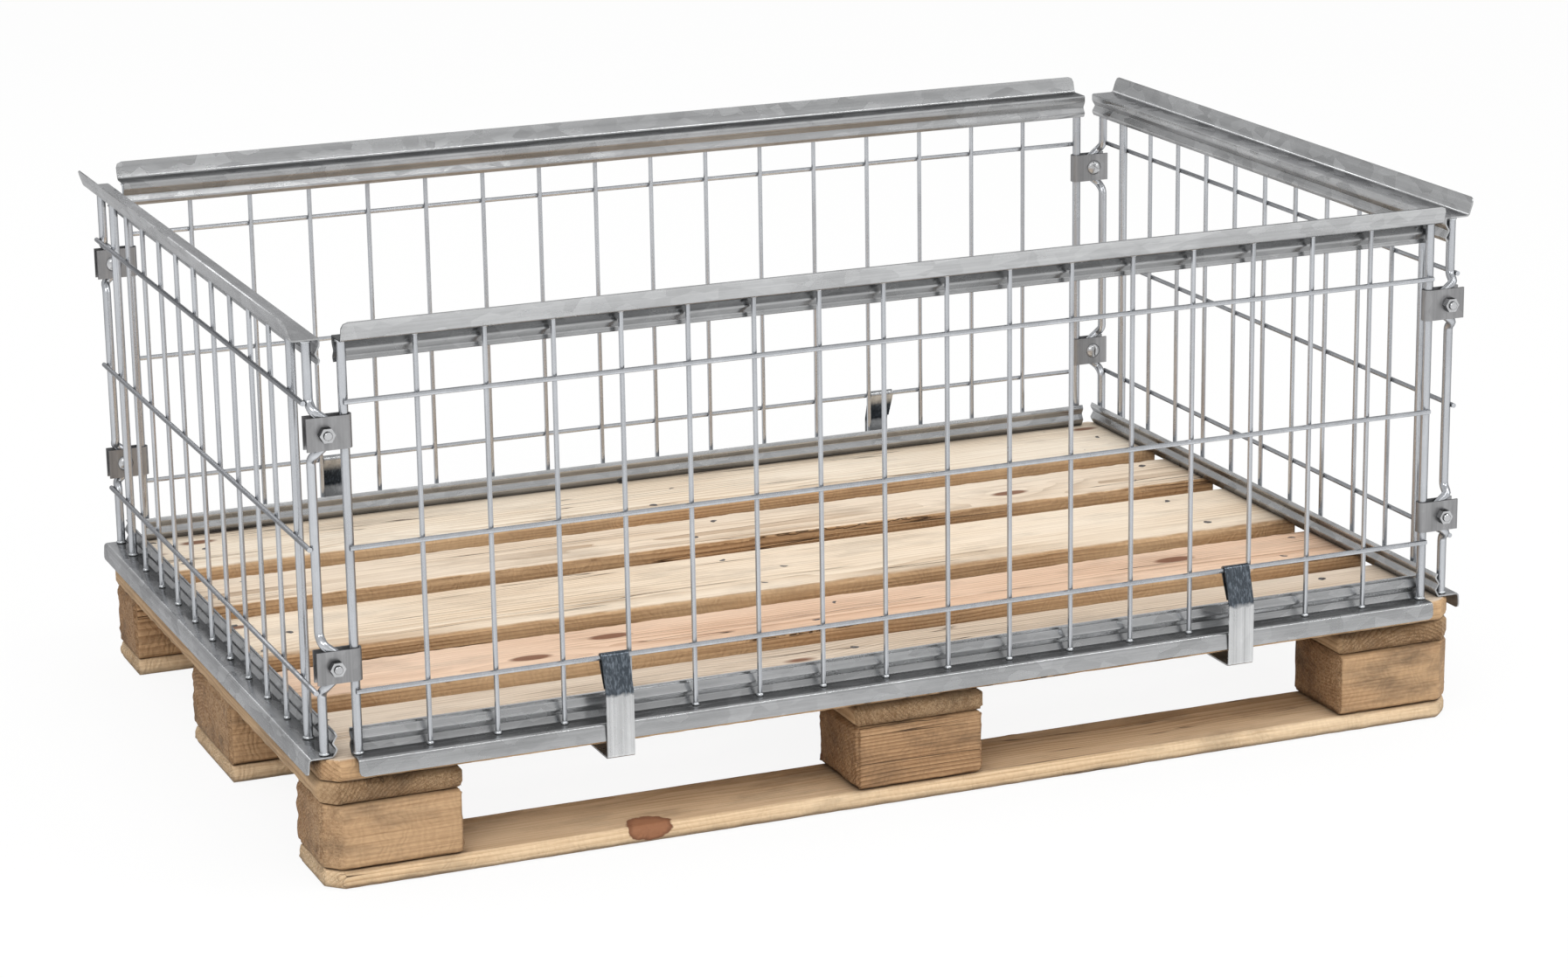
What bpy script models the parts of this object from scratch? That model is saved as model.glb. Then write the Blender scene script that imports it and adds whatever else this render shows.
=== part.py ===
"""Galvanised wire-mesh collar standing on a five-board wooden pallet.

Metres, +Z up. The origin is the middle of the pallet's underside. The long walls of the
collar run along X with the front one at -Y, the short walls run along Y.
Places across a wall are given as "out": the distance outward from the pallet's edge,
so a negative value lies over the deck.
"""
import math

import bmesh
import bpy
from mathutils import Matrix, Vector

# Clearance between pieces that touch
SEAT = 0.0003

# Pallet
PALLET_LENGTH = 1.200
PALLET_WIDTH = 0.800
CORNER_CUT = 0.020
WORN_EDGE = 0.0012
BOTTOM_BOARD_THICKNESS = 0.018
BLOCK_HEIGHT = 0.064
CROSS_BOARD_THICKNESS = 0.022
DECK_BOARD_THICKNESS = 0.022
CROSS_BOARD_WIDTH = 0.137
SIDE_RUNNER_WIDTH = 0.097
MIDDLE_RUNNER_WIDTH = 0.145
WIDE_DECK_BOARD = 0.145
NARROW_DECK_BOARD = 0.100

# Rolled sheet rails of the collar
SHEET = 0.0015
LONG_RAIL_END_GAP = 0.0345
SHORT_RAIL_END_GAP = 0.0120
RIB_SET = 0.0182
RIB_DEPTH = 0.0040
RIB_HEIGHT = 0.0066
RIB_FOLDS = 4
RIB_EDGE = 0.0040
FOLD_RADIUS = 0.0012
BEND_RADIUS = 0.0030
LIP_OUT = 0.0068
LIP_DROP = 0.0160
LIP_LEAN = 0.0012
LIP_CORNER = 0.0050
LEDGE_ABOVE_DECK = 0.3940
FLARE_OUT = 0.0058
FLARE_HEIGHT = 0.0180
FLARE_SPREAD = 0.0058
FLARE_CORNER = 0.0060

# Round bars and mesh wires
BAR_DIAMETER = 0.0090
WIRE_DIAMETER = 0.0050
WELD_SINK = 0.0007
LONG_BAR_INSET = 0.0050
POST_INSET = 0.0070
SIDE_BAR_FROM_POST = 0.0515
LONG_WALL_WIRES = 16
LONG_WIRE_MARGIN = 0.0685
SHORT_WALL_WIRES = 9
SHORT_WIRE_MARGIN = 0.1150
LOW_LEVEL_ABOVE_DECK = 0.0632
TOP_LEVEL_BELOW_LEDGE = 0.0588
LEVELS = 3
LEVEL_WIRE_PAST_BAR = 0.0015
LEVEL_WIRE_PAST_POST = 0.0050

# Hinge straps, bolts and nuts at the corners
STRAP_SHEET = 0.0020
STRAP_HEIGHT = 0.0310
STRAP_TAIL = 0.0175
LOWER_STRAP_ABOVE_WIRE = 0.0258
UPPER_STRAP_BELOW_WIRE = 0.0272
POST_PLAY = 0.0010
BOLT_DIAMETER = 0.0080
BOLT_HEAD_DIAMETER = 0.0170
BOLT_HEAD_HEIGHT = 0.0042
BOLT_TIP = 0.0025
BOLT_CHAMFER = 0.0006
NUT_ACROSS_FLATS = 0.0130
NUT_HEIGHT = 0.0075
POST_ENTRY_FROM_STRAP = 0.0045
POST_JOG_RISE = 0.0070
POST_JOG_HOLD = 0.0055
POST_ENTRY_SHIFT = 0.0010
POST_BEND = 0.0045

# Spring clips that hook under the deck
CLIP_SHEET = 0.0016
CLIP_WIDTH = 0.0275
CLIP_LIP_CLEARANCE = 0.0005
CLIP_SIDE_CLEARANCE = 0.0007
CLIP_KINK_DROP = 0.0320
CLIP_TONGUE_ABOVE_KINK = 0.0040
CLIP_FOOT_BELOW_DECK = 0.0092
CLIP_FOOT_LENGTH = 0.0480
CLIP_BEND = 0.0030
LEFT_CLIP_WIRE = 3
RIGHT_CLIP_WIRE = 13

# Facets
BAR_RESOLUTION = 4
WIRE_RESOLUTION = 2
TURNED_STEPS = 12
DOME_STEPS = 3
HOLE_SIDES = 12
FOLD_STEPS = 2
BEND_STEPS = 3
CORNER_STEPS = 2
LOOP_STEPS = 8
MERGE = 0.00001
SHARP_ANGLE = math.radians(50.0)

# Levels and lines that the sizes above fix
bottom_board_top = BOTTOM_BOARD_THICKNESS
block_top = bottom_board_top + BLOCK_HEIGHT
cross_board_top = block_top + CROSS_BOARD_THICKNESS
deck_top = cross_board_top + DECK_BOARD_THICKNESS
flange_mid = deck_top + SEAT + SHEET / 2
ledge_mid = deck_top + LEDGE_ABOVE_DECK - SHEET / 2
upright_foot = flange_mid + SHEET / 2 + SEAT
upright_head = ledge_mid - SHEET / 2 - SEAT
long_edge = PALLET_WIDTH / 2
short_edge = PALLET_LENGTH / 2
bar_radius = BAR_DIAMETER / 2
wire_radius = WIRE_DIAMETER / 2
rib_crest = -RIB_SET + RIB_DEPTH / 2
bar_out = rib_crest + SHEET + SEAT + bar_radius
level_wire_out = bar_out + bar_radius + wire_radius - WELD_SINK
upright_wire_out = level_wire_out - WIRE_DIAMETER + WELD_SINK
low_wire_level = deck_top + LOW_LEVEL_ABOVE_DECK
top_wire_level = deck_top + LEDGE_ABOVE_DECK - TOP_LEVEL_BELOW_LEDGE
strap_levels = (low_wire_level + LOWER_STRAP_ABOVE_WIRE, top_wire_level - UPPER_STRAP_BELOW_WIRE)
long_rail_length = PALLET_LENGTH - 2 * LONG_RAIL_END_GAP
short_rail_length = PALLET_WIDTH - 2 * SHORT_RAIL_END_GAP
long_bar_x = long_rail_length / 2 - LONG_BAR_INSET
post_hold_x = long_bar_x + bar_radius + POST_PLAY + bar_radius
bolt_x = post_hold_x + bar_radius + POST_PLAY + BOLT_DIAMETER / 2
strap_end_x = bolt_x + STRAP_TAIL
strap_half_gap = bar_radius + SEAT
strap_face = strap_half_gap + STRAP_SHEET
post_y = short_rail_length / 2 - POST_INSET
side_bar_y = post_y - SIDE_BAR_FROM_POST
long_wire_end = long_bar_x - LONG_WIRE_MARGIN
short_wire_end = post_y - SHORT_WIRE_MARGIN
post_jog_entry = STRAP_HEIGHT / 2 + POST_ENTRY_FROM_STRAP
post_jog_reach = post_jog_entry + POST_JOG_RISE
clip_tongue_drop = CLIP_KINK_DROP - CLIP_TONGUE_ABOVE_KINK
clip_foot_level = cross_board_top + SEAT - CLIP_FOOT_BELOW_DECK - CLIP_SHEET / 2


def clear_scene():
    for item in list(bpy.data.objects):
        bpy.data.objects.remove(item, do_unlink=True)


def new_collection(name):
    collection = bpy.data.collections.new(name)
    bpy.context.scene.collection.children.link(collection)
    return collection


def finish(name, colour, roughness, metallic):
    """A Principled material with one colour, roughness and metallic value."""
    made = bpy.data.materials.new(name)
    made.use_nodes = True
    shader = made.node_tree.nodes["Principled BSDF"]
    shader.inputs["Base Color"].default_value = (*colour, 1.0)
    shader.inputs["Roughness"].default_value = roughness
    shader.inputs["Metallic"].default_value = metallic
    return made


clear_scene()
parts = new_collection("mesh_pallet_collar")
cutters = new_collection("cutters")

deck_wood = finish("deck_wood", (0.62, 0.50, 0.37), 0.75, 0.0)
block_wood = finish("block_wood", (0.45, 0.29, 0.17), 0.80, 0.0)
rail_zinc = finish("rail_zinc", (0.62, 0.63, 0.65), 0.35, 1.0)
wire_zinc = finish("wire_zinc", (0.70, 0.72, 0.75), 0.30, 1.0)
strap_zinc = finish("strap_zinc", (0.55, 0.56, 0.57), 0.40, 1.0)
bolt_zinc = finish("bolt_zinc", (0.72, 0.73, 0.74), 0.28, 1.0)
spring_steel = finish("spring_steel", (0.60, 0.61, 0.63), 0.32, 1.0)


def add_object(name, data, material, parent=None):
    """Puts one named piece with its material into the collection of parts."""
    piece = bpy.data.objects.new(name, data)
    data.materials.append(material)
    parts.objects.link(piece)
    piece.parent = parent
    return piece


def turned_frame(name, angle):
    """An empty that carries one half of the collar, which is the same twice, half a turn apart."""
    frame = bpy.data.objects.new(name, None)
    frame.rotation_euler = (0.0, 0.0, angle)
    parts.objects.link(frame)
    return frame


def rounded(points, radius, steps):
    """The same path with every inner corner replaced by a curve that starts radius before it."""
    path = [Vector(points[0])]
    for before, corner, after in zip(points, points[1:], points[2:]):
        before, corner, after = Vector(before), Vector(corner), Vector(after)
        reach_in = min(radius, (before - corner).length / 2.1)
        reach_out = min(radius, (after - corner).length / 2.1)
        start = corner + (before - corner).normalized() * reach_in
        end = corner + (after - corner).normalized() * reach_out
        for step in range(steps + 1):
            along = step / steps
            first = start.lerp(corner, along)
            path.append(first.lerp(corner.lerp(end, along), along))
    path.append(Vector(points[-1]))
    return path


def arc(centre, radius, start, end, steps):
    """Points on a circle in a plane, with the angles in radians."""
    turn = (end - start) / steps
    return [
        Vector((centre[0] + radius * math.cos(start + turn * step),
                centre[1] + radius * math.sin(start + turn * step)))
        for step in range(steps + 1)
    ]


# Pallet

def board_outline(low, high):
    """A board's outline, with a cut wherever its corner is a corner of the pallet."""
    corners = ((low[0], low[1]), (high[0], low[1]), (high[0], high[1]), (low[0], high[1]))
    outline = []
    for index, (x, y) in enumerate(corners):
        at_corner = (
            math.isclose(abs(x), short_edge, abs_tol=MERGE)
            and math.isclose(abs(y), long_edge, abs_tol=MERGE)
        )
        if not at_corner:
            outline.append((x, y))
            continue
        along_x = (x - math.copysign(CORNER_CUT, x), y)
        along_y = (x, y - math.copysign(CORNER_CUT, y))
        comes_along_x = index in (1, 3)
        outline.extend((along_x, along_y) if comes_along_x else (along_y, along_x))
    return outline


def timber(name, low, high, underside, top, material):
    """A sawn board or block: an outline extruded upward, its edges worn."""
    curve = bpy.data.curves.new(name, "CURVE")
    curve.dimensions = "2D"
    curve.fill_mode = "BOTH"
    curve.extrude = (top - underside) / 2
    outline = board_outline(low, high)
    spline = curve.splines.new("POLY")
    spline.points.add(len(outline) - 1)
    for point, (x, y) in zip(spline.points, outline):
        point.co = (x, y, 0.0, 1.0)
    spline.use_cyclic_u = True
    piece = add_object(name, curve, material)
    piece.location.z = (underside + top) / 2
    weld = piece.modifiers.new("weld_caps", "WELD")
    weld.merge_threshold = MERGE
    worn = piece.modifiers.new("worn_edges", "BEVEL")
    worn.width = WORN_EDGE
    worn.segments = 1
    worn.limit_method = "ANGLE"


runner_bands = (
    ("front", -long_edge, -long_edge + SIDE_RUNNER_WIDTH),
    ("middle", -MIDDLE_RUNNER_WIDTH / 2, MIDDLE_RUNNER_WIDTH / 2),
    ("back", long_edge - SIDE_RUNNER_WIDTH, long_edge),
)
cross_bands = (
    ("left", -short_edge, -short_edge + CROSS_BOARD_WIDTH),
    ("centre", -CROSS_BOARD_WIDTH / 2, CROSS_BOARD_WIDTH / 2),
    ("right", short_edge - CROSS_BOARD_WIDTH, short_edge),
)
for row, low_y, high_y in runner_bands:
    timber(f"{row}_bottom_board", (-short_edge, low_y), (short_edge, high_y),
           0.0, bottom_board_top, deck_wood)
    for column, low_x, high_x in cross_bands:
        timber(f"{row}_{column}_block", (low_x, low_y), (high_x, high_y),
               bottom_board_top + SEAT, block_top, block_wood)
for column, low_x, high_x in cross_bands:
    timber(f"{column}_cross_board", (low_x, -long_edge), (high_x, long_edge),
           block_top + SEAT, cross_board_top, deck_wood)

deck_widths = (WIDE_DECK_BOARD, NARROW_DECK_BOARD, WIDE_DECK_BOARD, NARROW_DECK_BOARD, WIDE_DECK_BOARD)
deck_gap = (PALLET_WIDTH - sum(deck_widths)) / (len(deck_widths) - 1)
board_edge = -long_edge
for number, width in enumerate(deck_widths, start=1):
    far_edge = long_edge if number == len(deck_widths) else board_edge + width
    timber(f"deck_board_{number}", (-short_edge, board_edge), (short_edge, far_edge),
           cross_board_top + SEAT, deck_top, deck_wood)
    board_edge += width + deck_gap


# Rails: rolled sheet with a ribbed inner band

def ribbed_band(level, upward):
    """The folds of the inner band from a rail's flat part, as (out, z) points."""
    rise = RIB_HEIGHT if upward else -RIB_HEIGHT
    edge = RIB_EDGE if upward else -RIB_EDGE
    band = []
    for fold in range(RIB_FOLDS):
        side = RIB_DEPTH / 2 if fold % 2 == 0 else -RIB_DEPTH / 2
        band.append((-RIB_SET + side, level + fold * rise))
    band.append((-RIB_SET, level + (RIB_FOLDS - 1) * rise + edge))
    return band


def bottom_rail_section():
    """Inner band, flange on the deck, then the lip outside the deck's edge."""
    band = ribbed_band(flange_mid, True)[::-1]
    folded = rounded(band, FOLD_RADIUS, FOLD_STEPS)[:-1]
    bend = (LIP_OUT, flange_mid)
    lip_end = (LIP_OUT + LIP_LEAN, flange_mid - LIP_DROP)
    outer = rounded([band[-1], bend, lip_end], BEND_RADIUS, BEND_STEPS)
    return folded + outer


def top_rail_section():
    """Inner band hanging from a ledge, which turns up into the flared flange."""
    band = ribbed_band(ledge_mid, False)[::-1]
    nose = (-RIB_SET - RIB_DEPTH / 2, ledge_mid)
    inner = band[:-1] + [nose, (0.0, ledge_mid)]
    folded = rounded(inner, FOLD_RADIUS, FOLD_STEPS)[:-1]
    bend = (FLARE_OUT, ledge_mid)
    tip = (FLARE_OUT + FLARE_SPREAD, ledge_mid + FLARE_HEIGHT)
    outer = rounded([inner[-1], bend, tip], BEND_RADIUS, BEND_STEPS)
    return folded + outer


def rail_stations(length, corner):
    """Places along a rail, each with how far the free edge is cut back there."""
    half = length / 2
    ends = []
    for step in range(CORNER_STEPS + 1):
        angle = math.pi / 2 * step / CORNER_STEPS
        ends.append((half - corner + corner * math.sin(angle), corner * (1 - math.cos(angle))))
    return [(-place, cut) for place, cut in reversed(ends)] + ends


def sheet_object(name, rows, thickness, material, parent):
    """A bent sheet: rows of points made into faces, given their thickness by Solidify."""
    mesh = bpy.data.meshes.new(name)
    shaper = bmesh.new()
    made = [[shaper.verts.new(point) for point in row] for row in rows]
    for near, far in zip(made, made[1:]):
        for index in range(len(near) - 1):
            shaper.faces.new((near[index], near[index + 1], far[index + 1], far[index]))
    bmesh.ops.recalc_face_normals(shaper, faces=shaper.faces)
    shaper.to_mesh(mesh)
    shaper.free()
    mesh.shade_smooth()
    piece = add_object(name, mesh, material, parent)
    wall = piece.modifiers.new("sheet", "SOLIDIFY")
    wall.thickness = thickness
    wall.offset = 0.0
    wall.use_even_offset = True
    return piece


def long_place(along, out, z):
    """A point of the front wall, which runs along X."""
    return Vector((along, -long_edge - out, z))


def short_place(along, out, z):
    """A point of the left wall, which runs along Y."""
    return Vector((-short_edge - out, along, z))


def rail(name, section, length, corner, place, parent):
    rows = []
    for along, cut in rail_stations(length, corner):
        edge = section[-1] + (section[-2] - section[-1]).normalized() * cut
        rows.append([place(along, point.x, point.y) for point in section[:-1] + [edge]])
    return sheet_object(name, rows, SHEET, rail_zinc, parent)


# Welded wire panels

def rods(bundles):
    """One mesh of round rods, each along its own path, with its ends closed.

    A bundle is a list of paths, the rods' diameter and how finely they are rounded.
    """
    shaper = bmesh.new()
    for paths, diameter, resolution in bundles:
        curve = bpy.data.curves.new("rods", "CURVE")
        curve.dimensions = "3D"
        curve.bevel_depth = diameter / 2
        curve.bevel_resolution = resolution
        curve.use_fill_caps = True
        for path in paths:
            spline = curve.splines.new("POLY")
            spline.points.add(len(path) - 1)
            for point, place in zip(spline.points, path):
                point.co = (*place, 1.0)
        drawn = bpy.data.objects.new("rods", curve)
        bpy.context.scene.collection.objects.link(drawn)
        shown = drawn.evaluated_get(bpy.context.evaluated_depsgraph_get())
        tubes = bpy.data.meshes.new_from_object(shown)
        shaper.from_mesh(tubes)
        bpy.data.meshes.remove(tubes)
        bpy.data.objects.remove(drawn, do_unlink=True)
    bmesh.ops.remove_doubles(shaper, verts=shaper.verts, dist=MERGE)
    bmesh.ops.recalc_face_normals(shaper, faces=shaper.faces)
    mesh = bpy.data.meshes.new("rods")
    shaper.to_mesh(mesh)
    shaper.free()
    mesh.shade_smooth()
    mesh.set_sharp_from_angle(angle=SHARP_ANGLE)
    return mesh


def add_cutter(name, mesh, parent):
    tool = bpy.data.objects.new(name, mesh)
    tool.hide_render = True
    tool.display_type = "WIRE"
    tool.parent = parent
    cutters.objects.link(tool)
    return tool


def boolean(piece, name, operation, tool):
    joint = piece.modifiers.new(name, "BOOLEAN")
    joint.operation = operation
    joint.solver = "EXACT"
    joint.object = tool


def spread(first, last, count):
    """Evenly spaced places from the first to the last."""
    return [first + (last - first) * index / (count - 1) for index in range(count)]


def upright(place, along, out):
    return [place(along, out, upright_foot), place(along, out, upright_head)]


def wire_panel(name, place, wires, bars, half_level, parent):
    """A wall's mesh: uprights and bars with the level wires welded across their outside."""
    uprights = [upright(place, along, upright_wire_out) for along in wires]
    levels = []
    for z in spread(low_wire_level, top_wire_level, LEVELS):
        levels.append([place(-half_level, level_wire_out, z), place(half_level, level_wire_out, z)])
    standing = rods([(uprights, WIRE_DIAMETER, WIRE_RESOLUTION), (bars, BAR_DIAMETER, BAR_RESOLUTION)])
    standing.name = name
    piece = add_object(name, standing, wire_zinc, parent)
    tool = add_cutter(f"{name}_level_wires", rods([(levels, WIRE_DIAMETER, WIRE_RESOLUTION)]), parent)
    boolean(piece, "welds", "UNION", tool)
    return piece


def post_path(end):
    """A short wall's end post, which jogs into each hinge strap beside its bolt.

    end is -1 for the end at the front wall and 1 for the far end.
    """
    straight = Vector((-short_edge - bar_out, end * post_y, 0.0))
    line_y = end * (long_edge + bar_out)
    entry = Vector((straight.x + POST_ENTRY_SHIFT, line_y, 0.0))
    held = Vector((-post_hold_x, line_y, 0.0))
    path = [straight + Vector((0.0, 0.0, upright_foot))]
    for level in strap_levels:
        path += [
            straight + Vector((0.0, 0.0, level - post_jog_reach)),
            entry + Vector((0.0, 0.0, level - post_jog_entry)),
            held + Vector((0.0, 0.0, level - POST_JOG_HOLD)),
            held + Vector((0.0, 0.0, level + POST_JOG_HOLD)),
            entry + Vector((0.0, 0.0, level + post_jog_entry)),
            straight + Vector((0.0, 0.0, level + post_jog_reach)),
        ]
    path.append(straight + Vector((0.0, 0.0, upright_head)))
    return rounded(path, POST_BEND, BEND_STEPS)


# Hinge straps, bolts and nuts

def hinge_strap(name, side, level, parent):
    """A strap folded round a long wall's end bar, both its legs drilled for the bolt."""
    bar_y = -long_edge - bar_out
    middle = strap_half_gap + STRAP_SHEET / 2
    tail = long_bar_x - strap_end_x
    fold = arc((0.0, 0.0), middle, math.pi / 2, -math.pi / 2, LOOP_STEPS)
    legs = [Vector((tail, middle))] + fold + [Vector((tail, -middle))]
    rows = []
    for z in (level - STRAP_HEIGHT / 2, level + STRAP_HEIGHT / 2):
        rows.append([Vector((side * (long_bar_x - point.x), bar_y + point.y, z)) for point in legs])
    piece = sheet_object(name, rows, STRAP_SHEET, strap_zinc, parent)
    mesh = bpy.data.meshes.new(name)
    shaper = bmesh.new()
    turn = Matrix.Translation((side * bolt_x, bar_y, level)) @ Matrix.Rotation(math.pi / 2, 4, "X")
    hole = BOLT_DIAMETER / 2 + SEAT
    bmesh.ops.create_cone(shaper, cap_ends=True, segments=HOLE_SIDES, radius1=hole, radius2=hole,
                          depth=4 * strap_face, matrix=turn)
    shaper.to_mesh(mesh)
    shaper.free()
    boolean(piece, "bolt_holes", "DIFFERENCE", add_cutter(f"{name}_drill", mesh, parent))
    return piece


def bolt_profile():
    """Half of a round-headed bolt, its head's seat at z = 0 and its shank below."""
    radius = BOLT_DIAMETER / 2
    length = 2 * strap_face + SEAT + NUT_HEIGHT + BOLT_TIP
    dome = [math.pi / 2 * step / DOME_STEPS for step in range(DOME_STEPS + 1)]
    line = [(BOLT_HEAD_DIAMETER / 2 * math.sin(angle), SEAT + BOLT_HEAD_HEIGHT * math.cos(angle))
            for angle in dome]
    line += [(radius, SEAT), (radius, BOLT_CHAMFER - length), (radius - BOLT_CHAMFER, -length), (0.0, -length)]
    mesh = bpy.data.meshes.new("bolt_profile")
    shaper = bmesh.new()
    verts = [shaper.verts.new((x, 0.0, z)) for x, z in line]
    for first, second in zip(verts, verts[1:]):
        shaper.edges.new((first, second))
    shaper.to_mesh(mesh)
    shaper.free()
    mesh.materials.append(bolt_zinc)
    return mesh


def nut_outline():
    """A hexagon nut with its hole, extruded evenly to both sides."""
    curve = bpy.data.curves.new("nut_outline", "CURVE")
    curve.dimensions = "2D"
    curve.fill_mode = "BOTH"
    curve.extrude = NUT_HEIGHT / 2
    hexagon = arc((0.0, 0.0), NUT_ACROSS_FLATS / 2 / math.cos(math.pi / 6), 0.0, 2 * math.pi, 6)[:-1]
    hole = arc((0.0, 0.0), BOLT_DIAMETER / 2 + SEAT, 0.0, 2 * math.pi, HOLE_SIDES)[:-1]
    for outline in (hexagon, hole):
        spline = curve.splines.new("POLY")
        spline.points.add(len(outline) - 1)
        for point, place in zip(spline.points, outline):
            point.co = (place.x, place.y, 0.0, 1.0)
        spline.use_cyclic_u = True
    curve.materials.append(bolt_zinc)
    return curve


def fastener(name, data, place, parent):
    """A bolt or nut with its axis along Y and its head inward."""
    piece = bpy.data.objects.new(name, data)
    piece.location = place
    piece.rotation_euler.x = -math.pi / 2
    piece.parent = parent
    parts.objects.link(piece)
    return piece


def bolt_and_nut(name, side, level, parent):
    inner_face = Vector((side * bolt_x, -long_edge - bar_out + strap_face, level))
    bolt = fastener(f"{name}_bolt", bolt_mesh, inner_face, parent)
    turned = bolt.modifiers.new("turned", "SCREW")
    turned.steps = TURNED_STEPS
    turned.render_steps = TURNED_STEPS
    turned.use_merge_vertices = True
    turned.merge_threshold = MERGE
    nut_middle = inner_face - Vector((0.0, 2 * strap_face + SEAT + NUT_HEIGHT / 2, 0.0))
    fastener(f"{name}_nut", nut_curve, nut_middle, parent)


bolt_mesh = bolt_profile()
nut_curve = nut_outline()


# Spring clips

def tangent(point, radius, side):
    """Angle on a circle at the origin where a line from the point touches it."""
    toward = math.atan2(point[1], point[0])
    return toward + side * math.acos(radius / math.hypot(*point))


def clip_section():
    """A clip's side view about the wire it hangs on, as (out, z) points."""
    lip_face = LIP_OUT + LIP_LEAN + SHEET / 2
    strap = lip_face + CLIP_LIP_CLEARANCE + CLIP_SHEET / 2 - level_wire_out
    radius = wire_radius + SEAT + CLIP_SHEET / 2
    kink = Vector((strap, -CLIP_KINK_DROP))
    outer_angle = tangent(kink, radius, 1)
    leave = Vector((math.cos(outer_angle), math.sin(outer_angle))) * radius
    share = (leave.y + clip_tongue_drop) / (leave.y - kink.y)
    beside = leave.lerp(kink, share)
    tongue = beside - Vector((2 * CLIP_SHEET, 0.0))
    inner_angle = tangent(tongue, radius, -1) + 2 * math.pi
    loop = arc((0.0, 0.0), radius, inner_angle, outer_angle, LOOP_STEPS)
    heel = Vector((strap, clip_foot_level - low_wire_level))
    toe = heel - Vector((CLIP_FOOT_LENGTH, 0.0))
    return [tongue] + loop[:-1] + rounded([leave, kink, heel, toe], CLIP_BEND, BEND_STEPS)


def spring_clip(name, wire_x, parent):
    """A strap of spring steel looped round the lowest level wire beside an upright wire.

    Its origin is on that wire, which is the axis it swings about.
    """
    middle = wire_x - wire_radius - CLIP_SIDE_CLEARANCE - CLIP_WIDTH / 2
    rows = []
    for along in (-CLIP_WIDTH / 2, CLIP_WIDTH / 2):
        rows.append([Vector((along, -point.x, point.y)) for point in clip_section()])
    piece = sheet_object(name, rows, CLIP_SHEET, spring_steel, parent)
    piece.location = long_place(middle, level_wire_out, low_wire_level)
    return piece


# The collar: each half is one long wall and one short wall

bottom_section = bottom_rail_section()
top_section = top_rail_section()
long_wires = spread(-long_wire_end, long_wire_end, LONG_WALL_WIRES)
short_wires = spread(-short_wire_end, short_wire_end, SHORT_WALL_WIRES)
halves = (
    ("front", "back", "left", "right", turned_frame("front_and_left_half", 0.0)),
    ("back", "front", "right", "left", turned_frame("back_and_right_half", math.pi)),
)
for near, far, left, right, frame in halves:
    rail(f"{near}_bottom_rail", bottom_section, long_rail_length, LIP_CORNER, long_place, frame)
    rail(f"{near}_top_rail", top_section, long_rail_length, FLARE_CORNER, long_place, frame)
    rail(f"{left}_bottom_rail", bottom_section, short_rail_length, LIP_CORNER, short_place, frame)
    rail(f"{left}_top_rail", top_section, short_rail_length, FLARE_CORNER, short_place, frame)

    end_bars = [upright(long_place, side * long_bar_x, bar_out) for side in (-1, 1)]
    wire_panel(f"{near}_wire_panel", long_place, long_wires, end_bars,
               long_bar_x + LEVEL_WIRE_PAST_BAR, frame)
    side_bars = [upright(short_place, end * side_bar_y, bar_out) for end in (-1, 1)]
    posts = [post_path(end) for end in (-1, 1)]
    wire_panel(f"{left}_wire_panel", short_place, short_wires, side_bars + posts,
               post_y + LEVEL_WIRE_PAST_POST, frame)

    for side, hand in ((-1, left), (1, right)):
        for height, level in zip(("lower", "upper"), strap_levels):
            corner = f"{near}_{hand}_{height}"
            hinge_strap(f"{corner}_strap", side, level, frame)
            bolt_and_nut(corner, side, level, frame)

    spring_clip(f"{near}_{left}_clip", long_wires[LEFT_CLIP_WIRE], frame)
    spring_clip(f"{near}_{right}_clip", long_wires[RIGHT_CLIP_WIRE], frame)
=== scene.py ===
"""The looks of a galvanised wire mesh collar on its wooden pallet.

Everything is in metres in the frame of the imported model: +X runs along the long walls, the
front is at -Y, and the pallet stands on z = 0.
"""
import math
import random

import bmesh
import bpy
from mathutils import Matrix, Vector


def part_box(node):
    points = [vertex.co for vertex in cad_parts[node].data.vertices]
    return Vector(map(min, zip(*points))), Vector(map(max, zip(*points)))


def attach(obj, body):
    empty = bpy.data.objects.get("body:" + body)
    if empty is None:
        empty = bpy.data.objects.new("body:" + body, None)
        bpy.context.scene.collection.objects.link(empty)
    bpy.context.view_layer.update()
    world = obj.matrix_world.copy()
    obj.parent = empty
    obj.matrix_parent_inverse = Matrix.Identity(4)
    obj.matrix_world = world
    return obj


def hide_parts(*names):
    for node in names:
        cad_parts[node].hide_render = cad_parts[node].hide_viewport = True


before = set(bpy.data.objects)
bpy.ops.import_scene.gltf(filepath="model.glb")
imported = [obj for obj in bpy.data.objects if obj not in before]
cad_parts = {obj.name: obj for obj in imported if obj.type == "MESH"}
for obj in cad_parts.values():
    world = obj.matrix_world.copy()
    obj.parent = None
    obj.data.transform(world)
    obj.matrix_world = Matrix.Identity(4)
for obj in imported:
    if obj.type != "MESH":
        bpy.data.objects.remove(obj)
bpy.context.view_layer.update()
bpy.ops.object.select_all(action="DESELECT")


# Camera
# The photographer stood left of the middle and a little above the load, and used a long
# lens. The camera is tilted down on the object and has no shift.

CAMERA_PLACE = Vector((-1.570, -3.862, 1.378))
CAMERA_TURN = math.radians(-22.45)
CAMERA_TILT = math.radians(90.0 - 15.62)
CAMERA_ROLL = math.radians(-0.85)
CAMERA_LENS = 95.3
CAMERA_REACH = 50.0

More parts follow.
